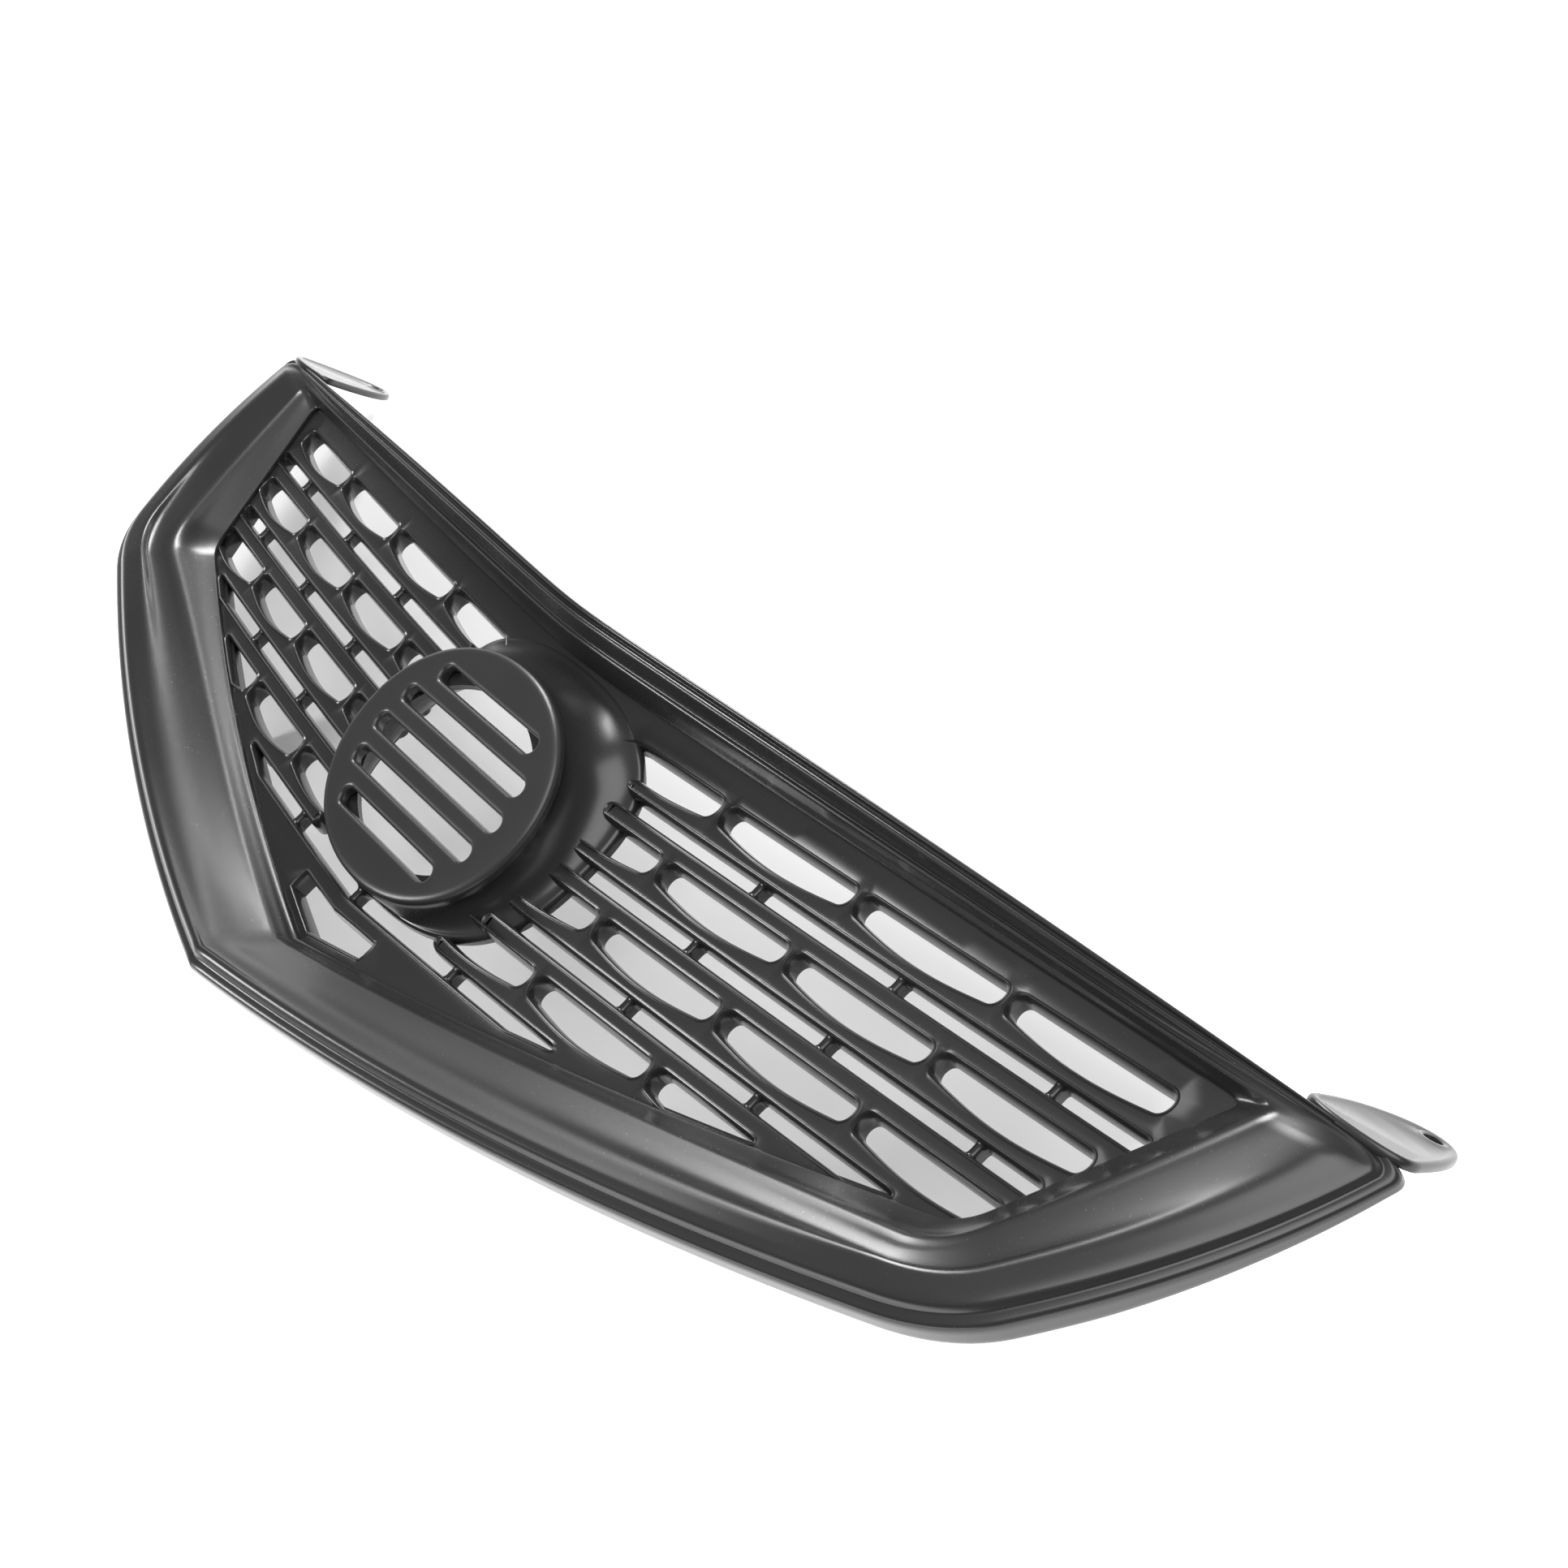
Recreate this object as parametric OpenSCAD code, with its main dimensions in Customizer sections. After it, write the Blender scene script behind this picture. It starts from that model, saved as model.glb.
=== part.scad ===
// Front grille of a mid-size saloon car, lying on its back with its face up.
// X runs across the car, +Y towards the bonnet edge, +Z out of the face.
// The tips of the two ears and the clips of the two long lower blades stand on z = 0.

/* [Surround] */
// Half width of the surround at its top corners
corner_x = 375; // [350:1:400]
// Half width of the surround at its lower corners
shoulder_x = 315; // [290:1:330]
// Depth of the outer skirt below the lip
skirt_depth = 14; // [10:1:16]
// Wall thickness of the mouldings
wall = 2.8; // [2:0.1:3.2]

/* [Mesh] */
// Distance between two rows of openings
row_pitch = 14.7; // [14:0.1:15]
// Depth of the pocket walls behind the mesh face
pocket_depth = 8; // [6:1:12]
// Thickness of the rib between two openings of a row
rib = 3; // [2:0.1:5]

/* [Badge] */
// Width of the blank oval badge
badge_w = 123; // [100:1:126]
// Height of the blank oval badge
badge_h = 101; // [80:1:104]
// Backward tilt of the badge face in degrees
badge_tilt = 8; // [0:1:10]

/* [Fixing] */
// Diameter of the holes in the two end ears
ear_hole_d = 6.6; // [5:0.1:8]
// Shank diameter of the screws that hold the mesh
screw_d = 4; // [3:0.1:4]

/* [Hidden] */
gloss_black = "#1c1c1e";
steel_grey = "#9a9da1";
gap = 0.3;
mesh_centre_z = 47;
lip_top_z = 72.1;
lip_low_z = 78;

// Front face of the mesh at distance x from the middle: a shallow swept-back vee.
function mesh_z(x) = mesh_centre_z - 0.06 * abs(x) - 0.00015 * x * x;
// Outer edges of the surround in front view, and the height of the lip along them.
function top_y(x) = 63 + 0.085 * x - 0.00004 * x * x;
function low_y(x) = -130.3 + 0.15 * x + 0.00045 * x * x;
function top_lip(x) = lip_top_z - 0.155 * x;
function low_lip(x) = lip_low_z - 0.118 * x;
// Edges of the opening that the mesh shows through.
mouth_corner_x = 321;
mouth_shoulder_x = 281;
function mouth_top(x) = 50 + 0.065 * x + 0.00005 * x * x;
function mouth_low(x) = -96.5 + 0.26 * x + 0.0002 * x * x;
function mix(a, b, t) = a + (b - a) * t;

// Stations round the right half, from the middle of the top edge to the middle of the
// bottom edge. Each is [outer x, outer y, lip z, mouth x, mouth y, weight top, weight low].
top_steps = 10;
side_steps = 6;
low_steps = 11;
corner_round = 6;
shoulder_round = 26;
side_bulge = 8;
corner_y = top_y(corner_x);
shoulder_y = low_y(shoulder_x);
mouth_corner_y = mouth_top(mouth_corner_x);
mouth_shoulder_y = mouth_low(mouth_shoulder_x);
function top_station(t) = let (x = mix(0, corner_x - corner_round, t), m = mix(0, mouth_corner_x - 4, t))
    [x, top_y(x), top_lip(x), m, mouth_top(m), 1 - 0.6 * pow(t, 6), 0];
function side_point(t) = [mix(corner_x, shoulder_x, t) + side_bulge * 4 * t * (1 - t),
    mix(corner_y, shoulder_y, t)];
function side_station(t) = let (p = side_point(t))
    [p[0], p[1], mix(top_lip(corner_x), low_lip(shoulder_x), t),
     mix(mouth_corner_x, mouth_shoulder_x, t), mix(mouth_corner_y, mouth_shoulder_y, t), 0, 0];
function low_station(t) = let (x = mix(0, shoulder_x - 22, t), m = mix(0, mouth_shoulder_x - 8, t))
    [x, low_y(x), low_lip(x), m, mouth_low(m), 0, 1 - pow(t, 4)];
shoulder_turns = [0.25, 0.5, 0.75];
shoulder_from = side_station(0.88);
shoulder_to = low_station(1);
function bend(a, c, b, t) = a * (1 - t) * (1 - t) + c * 2 * t * (1 - t) + b * t * t;
shoulder_knee = [shoulder_x, shoulder_y, low_lip(shoulder_x), mouth_shoulder_x, mouth_shoulder_y, 0, 0];
half = concat(
    [for (i = [0 : top_steps]) top_station(i / top_steps)],
    [for (i = [0 : side_steps]) side_station(0.03 + 0.85 * i / side_steps)],
    [for (t = shoulder_turns) bend(shoulder_from, shoulder_knee, shoulder_to, t)],
    [for (i = [low_steps : -1 : 0]) low_station(i / low_steps)]);
function flip(s) = [-s[0], s[1], s[2], -s[3], s[4], s[5], s[6]];
stations = concat(half, [for (i = [len(half) - 2 : -1 : 1]) flip(half[i])]);

// Section of the surround, from the foot on the mesh out over the lip to the skirt and
// back along the inside. Each point is [share of the width, plus mm, share of the rise, plus mm].
side_section = [[0, 0, 0, 0.4], [0, 0, 0, 1.8], [0, 5, 0.1, 3.2], [0, 10, 0.3, 5], [0, 15, 0.42, 5.2],
    [0.5, 0, 0.62, 4.4], [1, -15, 0.86, 2.8], [1, -9, 1, 0.9], [1, -5, 1, 0.2], [1, -1.5, 1, -1.6],
    [1, 0, 1, -4.5], [1, 0, 1, -skirt_depth], [1, -wall, 1, -skirt_depth], [1, -wall, 1, -6.5],
    [1, -6, 1, -3.4], [1, -15, 0.86, -0.4], [0.5, 0, 0.62, 1.2], [0, 15, 0.42, 2], [0, 8, 0.2, 1.2],
    [0, 3, 0, 0.4]];
low_section = [[0, 0, 0, 0.4], [0, 0, 0, 1.8], [0.12, 0, 0.14, 1.5], [0.28, 0, 0.34, 1.5],
    [0.45, 0, 0.55, 1.5], [0.62, 0, 0.75, 1.2], [0.76, 0, 0.9, 0.8], [1, -6, 1, -0.6],
    [1, -4, 1, 0], [1, -1.2, 1, -1.4], [1, 0, 1, -4], [1, 0, 1, -skirt_depth],
    [1, -wall, 1, -skirt_depth], [1, -wall, 1, -7], [1, -5.5, 1, -4.5], [0.76, 0, 0.88, -3.2],
    [0.62, 0, 0.7, -2.6], [0.45, 0, 0.5, -2.4], [0.28, 0, 0.28, -1.6], [0.1, 0, 0, 0.4]];
top_section = [[0, 0, 0, 0.4], [0, 0, 0, 1.8], [0.1, 0, 0.2, 1.4], [0.22, 0, 0.4, 1.2],
    [0.36, 0, 0.62, 1], [0.48, 0, 0.8, 1], [0.58, 0, 0.86, 1], [0.68, 0, 0.87, 0],
    [0.84, 0, 1, 0], [0.95, 0, 1, -0.9], [1, 0, 1, -3], [1, 0, 1, -skirt_depth],
    [1, -wall, 1, -skirt_depth], [1, -wall, 1, -5.5], [0.74, 0, 0.86, -3.6], [0.6, 0, 0.76, -3.4],
    [0.5, 0, 0.62, -3], [0.4, 0, 0.4, -2.6], [0.3, 0, 0.16, -1.4], [0.22, 0, 0, 0.4]];
section_count = len(side_section);

// A point of the section at one station: the outward run is from the mouth to the outer edge.
function section_point(s, j) = let (
    side_w = 1 - s[5] - s[6],
    k = side_w * side_section[j] + s[6] * low_section[j] + s[5] * top_section[j],
    run = [s[0] - s[3], s[1] - s[4]],
    width = norm(run),
    out = k[0] * width + k[1],
    foot_z = mesh_z(s[3]))
    [s[3] + run[0] / width * out, s[4] + run[1] / width * out, foot_z + k[2] * (s[2] - foot_z) + k[3]];

// Closed ring of sections: every station joins the next one and the last joins the first.
module ring(points, sections, count) {
    polyhedron(points, [for (i = [0 : sections - 1], j = [0 : count - 1], h = [0, 1])
        let (a = i * count + j, b = i * count + (j + 1) % count,
             c = ((i + 1) % sections) * count + (j + 1) % count,
             d = ((i + 1) % sections) * count + j)
        h == 0 ? [a, b, c] : [a, c, d]], convexity = 10);
}

module surround_skin() {
    ring([for (s = stations, j = [0 : section_count - 1]) section_point(s, j)],
        len(stations), section_count);
}

// Places of the screws on the right half, as [x, y, top of the boss]; the left half mirrors them.
screw_half = [[60, 62, 53.5], [180, 71.5, 38], [290, 79, 21.4], [308, 20, 24], [225, -42, 35.2],
    [120, -75, 45.5]];
screws = concat(screw_half, [for (s = screw_half) [-s[0], s[1], s[2]]]);
boss_r = 3.5;
boss_bore = screw_d / 2 + 0.05;
blade_w = 24;
blade_t = 3;
// Tongue-shaped ear at the right end of the top edge. It leans back from the root line at
// [y, z], and is drawn flat: x across the car, y down along the ear.
ear_root = [88.5, 13];
ear_lean = 62;
ear_t = 3;
ear_tip = 50;
ear_hole = [354, 41];
ear_outline = [[331, -5], [331, 16], [334, 31], [341, 43], [349, 49], [356, ear_tip], [363, 46],
    [368, 35], [372, 20], [374, -1.5]];
module at_ear() {
    translate([0, ear_root[0], ear_root[1]]) rotate([-ear_lean, 0, 0]) children();
}

// Puts the origin under the middle of the outline, on the plane the part rests on.
centre_y = (-low_y(0) - ear_root[0] - ear_tip * cos(ear_lean) - ear_t / 2 * sin(ear_lean)) / 2;
floor_z = ear_root[1] - ear_tip * sin(ear_lean) - ear_t / 2 * cos(ear_lean);
module placed() {
    translate([0, centre_y, -floor_z]) children();
}

// Blades that carry the snap clips, as [x, y of the front face, bottom z, top z].
clip_t = 1;
foot_z = floor_z + clip_t + 0.4;
blades = [[205, -60, foot_z, 43.9], [120, -96, 30, 59], [-120, -96, 30, 59], [-205, -60, foot_z, 43.9]];

module mirrored() {
    children();
    mirror([1, 0, 0]) children();
}

module surround_frame() {
    color(gloss_black) placed() difference() {
        union() {
            surround_skin();
            mirrored() at_ear() translate([0, 0, -ear_t / 2]) linear_extrude(ear_t) polygon(ear_outline);
            for (s = screws) translate([s[0], s[1], mesh_z(abs(s[0]) - boss_r) + gap])
                cylinder(h = s[2] - mesh_z(abs(s[0]) - boss_r) - gap, r = boss_r, $fn = 32);
            for (b = blades) translate([b[0] - blade_w / 2, b[1], b[2]])
                cube([blade_w, blade_t, b[3] - b[2]]);
        }
        mirrored() at_ear() translate([ear_hole[0], ear_hole[1], -10])
            cylinder(h = 20, d = ear_hole_d, $fn = 48);
        for (s = screws) translate([s[0], s[1], mesh_z(s[0]) - 5])
            cylinder(h = s[2] - 1.2 - mesh_z(s[0]) + 5, r = boss_bore, $fn = 32);
    }
}

// Front view of the openings. A row is numbered from the top; its line rises away from the middle.
rows = 9;
odd_top = 5;
odd_low = 3.8;
odd_belly = 3.4;
slot_top = 3;
slot_low = 3.6;
cell_steps = 12;
function row_y(r, x) = 33 - row_pitch * (r - 1) + 0.07 * abs(x) + 0.00007 * x * x;
function rib_x(r, n) = n * (69 - 0.7 * r);
// Share of the full height at fraction t of an opening's length: full, with rounded ends.
function end_round(t, sharp) = pow(max(0, 1 - pow(abs(2 * t - 1), sharp)), 0.5);
function spread(i) = 0.5 - 0.5 * cos(180 * i / cell_steps);
module opening(r, from_n, to_n) {
    x0 = rib_x(r, from_n) + rib / 2;
    x1 = rib_x(r, to_n) - rib / 2;
    odd = r % 2 == 1;
    up = odd ? odd_top : slot_top;
    polygon(concat(
        [for (i = [0 : cell_steps]) let (t = spread(i), x = mix(x0, x1, t))
            [x, row_y(r, x) + up * end_round(t, 12)]],
        [for (i = [cell_steps - 1 : -1 : 1]) let (t = spread(i), x = mix(x0, x1, t),
            down = odd ? odd_low + odd_belly * sin(180 * t) : slot_low)
            [x, row_y(r, x) - down * end_round(t, 12)]]));
}

// Openings of a row lie between ribs at half pitches on odd rows and whole pitches on even rows.
module openings() {
    for (r = [1 : rows]) {
        odd = r % 2 == 1;
        last = r == 9 ? 0 : r == 8 ? 1 : odd ? 4 : 4;
        for (k = [-last - (odd ? 0 : 1) : last]) opening(r, odd ? k - 0.5 : k, odd ? k + 0.5 : k + 1);
    }
}

// Outline of the mouth moved out by grow at the sides and bottom and by grow_top at the top.
outline_steps = 12;
module mouth(grow, grow_top) {
    right = concat(
        [for (i = [0 : outline_steps]) let (x = mouth_corner_x * i / outline_steps)
            [x + grow * i / outline_steps, mouth_top(x) + grow_top]],
        [for (i = [outline_steps : -1 : 0]) let (x = mouth_shoulder_x * i / outline_steps)
            [x + grow * i / outline_steps, mouth_low(x) - grow]]);
    polygon(concat(right, [for (i = [len(right) - 2 : -1 : 1]) [-right[i][0], right[i][1]]]));
}

// Superellipse of half sizes a and b round the point [0, y].
oval_steps = 48;
function power(v, n) = sign(v) * pow(abs(v), 2 / n);
function oval_point(a, b, y, n, i) = let (t = 360 * i / oval_steps)
    [a * power(cos(t), n), y + b * power(sin(t), n)];
module oval(a, b, y, n) {
    polygon([for (i = [0 : oval_steps - 1]) oval_point(a, b, y, n, i)]);
}
foot_a = 65;
foot_b = 55;
foot_y = -8;
foot_n = 2.6;

// Slab that follows the mesh face, from top above the face down to depth below it.
slab_step = 40;
slab_half = 360;
module slab(depth) {
    xs = [for (x = [-slab_half : slab_step : slab_half]) x];
    translate([0, 150, 0]) rotate([90, 0, 0]) linear_extrude(300)
        polygon(concat([for (x = xs) [x, mesh_z(x)]],
            [for (i = [len(xs) - 1 : -1 : 0]) [xs[i], mesh_z(xs[i]) - depth]]));
}

module mesh_insert() {
    border = 9;
    color(gloss_black) placed() union() {
        intersection() {
            slab(wall);
            linear_extrude(80) difference() {
                union() {
                    mouth(border, border);
                    for (s = screws) translate([s[0], s[1]]) circle(r = 6.5, $fn = 32);
                }
                mesh_cut_outs();
                for (s = screws) translate([s[0], s[1]]) circle(r = screw_d / 2 + 0.2, $fn = 32);
            }
        }
        intersection() {
            slab(pocket_depth);
            linear_extrude(80) difference() {
                mouth(-2, -6);
                mesh_cut_outs();
            }
        }
    }
}

// Openings cleared of the border and of the badge pedestal, and the hole behind the badge.
module mesh_cut_outs() {
    difference() {
        intersection() {
            openings();
            mouth(-3.5, -6);
        }
        oval(foot_a + 3, foot_b + 3, foot_y, foot_n);
    }
    oval(foot_a - 4, foot_b - 4, foot_y, foot_n);
}

// Badge face: an oval plane through the point [0, badge_y, badge_z].
badge_y = -17;
badge_z = 60;
badge_t = 5;
flange = 9;
stud_inset = 8;
stud_d = 4;
stud_angles = [40, 140, 220, 320];
function badge_top(y) = badge_z + (y - badge_y) * tan(badge_tilt);
function pedestal_section(i) = let (
    foot = oval_point(foot_a, foot_b, foot_y, foot_n, i),
    inner = oval_point(foot_a - 4.6, foot_b - 4.6, foot_y, foot_n, i),
    rim = oval_point(badge_w / 2 - 4, badge_h / 2 - 5, badge_y, 2, i),
    shelf = oval_point(badge_w / 2 - 6.8, badge_h / 2 - 7.8, badge_y, 2, i),
    edge = oval_point(badge_w / 2 - 4 - flange, badge_h / 2 - 5 - flange, badge_y, 2, i),
    base = mesh_z(foot[0]) + gap,
    under = badge_t / cos(badge_tilt) + 0.1,
    rise = badge_top(rim[1]) - under - base)
    [[foot[0], foot[1], base],
     [mix(foot[0], rim[0], 0.12), mix(foot[1], rim[1], 0.12), base + 0.2 * rise],
     [mix(foot[0], rim[0], 0.5), mix(foot[1], rim[1], 0.5), base + 0.55 * rise],
     [rim[0], rim[1], base + rise],
     [edge[0], edge[1], badge_top(edge[1]) - under],
     [edge[0], edge[1], badge_top(edge[1]) - under - wall],
     [shelf[0], shelf[1], badge_top(shelf[1]) - under - wall],
     [inner[0], inner[1], base]];

module in_badge_plane() {
    translate([0, badge_y, badge_z]) rotate([badge_tilt, 0, 0]) children();
}

module at_studs() {
    in_badge_plane() for (t = stud_angles)
        translate([(badge_w / 2 - 4 - stud_inset + 3) * cos(t), (badge_h / 2 - 5 - stud_inset + 3) * sin(t), 0])
            children();
}

module badge_pedestal() {
    color(gloss_black) placed() difference() {
        ring([for (i = [0 : oval_steps - 1]) each pedestal_section(oval_steps - i)], oval_steps, 8);
        at_studs() translate([0, 0, -20]) cylinder(h = 20, d = stud_d + 0.3, $fn = 32);
    }
}

// Blank oval plate with a ladder of level slots right through it.
slot_count = 5;
slot_pitch = 15;
slot_h = 7;
module badge_plate() {
    color(gloss_black) placed() union() {
        in_badge_plane() translate([0, 0, -badge_t]) linear_extrude(badge_t) difference() {
            oval(badge_w / 2, badge_h / 2, 0, 2);
            for (k = [-(slot_count - 1) / 2 : (slot_count - 1) / 2]) {
                y = k * slot_pitch;
                reach = (badge_w / 2 - 14) * sqrt(1 - pow(y / (badge_h / 2 - 6), 2)) - slot_h / 2;
                translate([-reach, y - slot_h / 2]) square([2 * reach, slot_h]);
                for (side = [-reach, reach]) translate([side, y]) circle(d = slot_h, $fn = 32);
            }
        }
        at_studs() translate([0, 0, -badge_t - 8]) cylinder(h = 8.5, d = stud_d, $fn = 32);
    }
}

// Push nut pressed on a badge stud under the pedestal's flange.
module badge_nut(i) {
    color(steel_grey) placed() in_badge_plane()
        translate([(badge_w / 2 - 9) * cos(stud_angles[i]), (badge_h / 2 - 10) * sin(stud_angles[i]),
            -badge_t - 0.1 - wall - 1.5])
            difference() {
                union() {
                    cylinder(h = 1, d = 9, $fn = 48);
                    translate([0, 0, -1]) cylinder(h = 1, d = 6.4, $fn = 48);
                }
                translate([0, 0, -2]) cylinder(h = 4, d = stud_d + 0.1, $fn = 32);
            }
}

// Round-headed screw driven from behind through the mesh border into a boss of the surround.
head_d = 8;
head_h = 2.4;
module mesh_screw(i) {
    s = screws[i];
    seat = mesh_z(abs(s[0]) + head_d / 2) - wall - 0.15;
    color(steel_grey) placed() translate([s[0], s[1], seat]) {
        cylinder(h = s[2] - 2 - seat, d = screw_d, $fn = 32);
        translate([0, 0, -head_h]) difference() {
            cylinder(h = head_h, d = head_d, $fn = 48);
            translate([-2, -0.4, -0.1]) cube([4, 0.8, 1.3]);
            translate([-0.4, -2, -0.1]) cube([0.8, 4, 1.3]);
        }
    }
}

// Spring-steel clip folded round the end of a blade, with a sprung tongue on each face.
clip_w = 14;
clip_h = 15;
module snap_clip(i) {
    b = blades[i];
    color(steel_grey) placed() translate([b[0] - clip_w / 2, b[1] + blade_t / 2, b[2] - clip_t - 0.4])
        rotate([90, 0, 90]) linear_extrude(clip_w) polygon(clip_outline);
}
clip_in = blade_t / 2 + 0.2;
clip_outline = [[-clip_in - clip_t, 0], [clip_in + clip_t, 0], [clip_in + clip_t, 4],
    [clip_in + clip_t + 2.2, 8], [clip_in + clip_t, clip_h], [clip_in, clip_h], [clip_in + 1.4, 8],
    [clip_in, 5], [clip_in, clip_t], [-clip_in, clip_t], [-clip_in, 5], [-clip_in - 1.4, 8],
    [-clip_in, clip_h], [-clip_in - clip_t, clip_h], [-clip_in - clip_t - 2.2, 8], [-clip_in - clip_t, 4]];

surround_frame();
mesh_insert();
badge_pedestal();
badge_plate();
badge_nut(0);  // badge_nut_1
badge_nut(1);  // badge_nut_2
badge_nut(2);  // badge_nut_3
badge_nut(3);  // badge_nut_4
mesh_screw(0);  // mesh_screw_1
mesh_screw(1);  // mesh_screw_2
mesh_screw(2);  // mesh_screw_3
mesh_screw(3);  // mesh_screw_4
mesh_screw(4);  // mesh_screw_5
mesh_screw(5);  // mesh_screw_6
mesh_screw(6);  // mesh_screw_7
mesh_screw(7);  // mesh_screw_8
mesh_screw(8);  // mesh_screw_9
mesh_screw(9);  // mesh_screw_10
mesh_screw(10);  // mesh_screw_11
mesh_screw(11);  // mesh_screw_12
snap_clip(0);  // snap_clip_1
snap_clip(1);  // snap_clip_2
snap_clip(2);  // snap_clip_3
snap_clip(3);  // snap_clip_4
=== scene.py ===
# %% [markdown]
# # Front grille, in gloss black plastic
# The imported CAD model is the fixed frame. This lesson builds the visible mouldings over it: a swept
# surround, a mesh with beaded openings, a flared pedestal with an oval badge, and two end ears.

# %%
# Load the frame
import math
import bpy
import bmesh
import numpy as np
from mathutils import Matrix, Vector
from mathutils.geometry import delaunay_2d_cdt


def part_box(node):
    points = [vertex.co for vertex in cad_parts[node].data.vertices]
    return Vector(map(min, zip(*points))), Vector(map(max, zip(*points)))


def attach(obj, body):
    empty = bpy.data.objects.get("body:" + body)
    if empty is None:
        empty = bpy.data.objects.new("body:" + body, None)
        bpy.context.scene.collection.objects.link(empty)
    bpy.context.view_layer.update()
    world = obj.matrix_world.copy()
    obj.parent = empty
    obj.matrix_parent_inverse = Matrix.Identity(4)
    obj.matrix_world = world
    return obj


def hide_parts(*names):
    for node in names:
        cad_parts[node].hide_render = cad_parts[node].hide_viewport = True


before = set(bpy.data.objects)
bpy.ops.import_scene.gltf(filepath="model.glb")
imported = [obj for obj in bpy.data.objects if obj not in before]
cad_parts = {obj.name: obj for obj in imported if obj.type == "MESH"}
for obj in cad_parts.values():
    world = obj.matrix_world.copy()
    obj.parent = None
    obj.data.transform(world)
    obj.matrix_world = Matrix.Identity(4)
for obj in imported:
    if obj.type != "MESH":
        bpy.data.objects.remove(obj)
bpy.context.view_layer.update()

# %% [markdown]
# The shapes are worked out in millimetres round the middle of the mesh, as the CAD does. Two shifts,
# read from the frame, take them to the frame's origin: one along Y and one along Z.

# %%
# Shared frame
SHIFT_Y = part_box("surround_frame")[0][1] * 1000 + 130.3
SHIFT_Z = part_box("surround_frame")[1][2] * 1000 - 78.0


def place(points):
    """Millimetres round the mesh centre to metres in the frame."""
    return (np.asarray(points, float) + (0, SHIFT_Y, SHIFT_Z)) * 0.001


print("shifts", round(SHIFT_Y, 3), round(SHIFT_Z, 3))

# %% [markdown]
# ## Materials
# One small class wraps node sockets, so that shader maths reads as arithmetic.

# %%
# Socket wrapper


class Sock:
    def __init__(self, nodes, socket):
        self.nodes, self.socket = nodes, socket

    def math(self, kind, other, swap=False):
        n = self.nodes.tree.nodes.new("ShaderNodeMath")
        n.operation = kind
        a, b = (1, 0) if swap else (0, 1)
        self.nodes.feed(n.inputs[a], self)
        self.nodes.feed(n.inputs[b], other)
        return Sock(self.nodes, n.outputs[0])

    def __add__(self, o): return self.math("ADD", o)
    def __mul__(self, o): return self.math("MULTIPLY", o)
    def __sub__(self, o): return self.math("SUBTRACT", o)
    def __rsub__(self, o): return self.math("SUBTRACT", o, True)
    def power(self, o): return self.math("POWER", o)
    __radd__, __rmul__ = __add__, __mul__


class Nodes:
    """A material's node tree: add() makes one node and returns it, out() one of its outputs."""

    def __init__(self, name):
        self.mat = bpy.data.materials.new(name)
        self.mat.use_nodes = True
        self.tree = self.mat.node_tree
        self.shader = self.tree.nodes["Principled BSDF"]
        self.coords = self.tree.nodes.new("ShaderNodeTexCoord").outputs["Object"]

    def feed(self, socket, value):
        if isinstance(value, Sock):
            self.tree.links.new(value.socket, socket)
        elif hasattr(value, "is_linked"):
            self.tree.links.new(value, socket)
        else:
            socket.default_value = value

    def add(self, kind, output=0, **values):
        n = self.tree.nodes.new("ShaderNode" + kind)
        for key, value in values.items():
            if key in n.inputs:
                self.feed(n.inputs[key], value)
            else:
                setattr(n, key, value)
        return Sock(self, n.outputs[output])

    def noise(self, scale, detail=3.0, stretch=None):
        vector = self.coords
        if stretch:
            vector = self.add("Mapping", Vector=self.coords, Scale=stretch).socket
        return self.add("TexNoise", Vector=vector, Scale=scale, Detail=detail)

    def ramp(self, factor, low, high, colour_a, colour_b):
        t = self.add("MapRange", Value=factor, **{"From Min": low, "From Max": high})
        n = self.tree.nodes.new("ShaderNodeMix")
        n.data_type = "RGBA"
        self.feed(n.inputs[0], t)
        n.inputs[6].default_value = (*colour_a, 1)
        n.inputs[7].default_value = (*colour_b, 1)
        return Sock(self, n.outputs[2])

    def bump(self, height, strength, distance):
        return self.add("Bump", Height=height, Strength=strength, Distance=distance)

    def wire(self, **values):
        for key, value in values.items():
            self.feed(self.shader.inputs[key.replace("_", " ")], value)
        return self.mat


print("socket wrapper ready")

# %% [markdown]
# The plastic is a near-black gloss moulding. Fine dust lifts the colour a little and breaks the
# gloss, edges that hands rub are slightly duller, and a slow ripple bends the reflections.

# %%
# Plastics


def plastic(name, dark, light, rough, ripple):
    n = Nodes(name)
    cloud = n.noise(9.0, 4.0)
    dust = n.noise(900.0, 2.0)
    speck = n.add("MapRange", Value=dust, **{"From Min": 0.68, "From Max": 0.8})
    edge = n.add("MapRange", Value=n.add("NewGeometry", output="Pointiness"),
                 **{"From Min": 0.52, "From Max": 0.6, "To Max": 0.06})
    colour = n.ramp(cloud + speck * 0.1, 0.35, 0.9, dark, light)
    roughness = cloud * 0.05 + speck * 0.05 + edge + (rough - 0.03)
    slow = n.noise(30.0, 1.0)
    grain = n.noise(1600.0, 2.0)
    height = slow * ripple + grain * 0.004
    return n.wire(Base_Color=colour, Roughness=roughness, IOR=1.5, Coat_Weight=0.15,
                  Coat_Roughness=0.2, Normal=n.bump(height, 0.5, 0.0006))


gloss = plastic("gloss_black_plastic", (0.02, 0.02, 0.021), (0.032, 0.032, 0.033), 0.26, 0.04)
satin = plastic("satin_black_plastic", (0.024, 0.024, 0.025), (0.038, 0.038, 0.039), 0.36, 0.03)
print("plastics", gloss.name, satin.name)

# %% [markdown]
# The fasteners are bright steel: clips are drawn strip, so their grain is long, and screws and nuts
# have a blotchy zinc passivation.

# %%
# Metals


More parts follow.
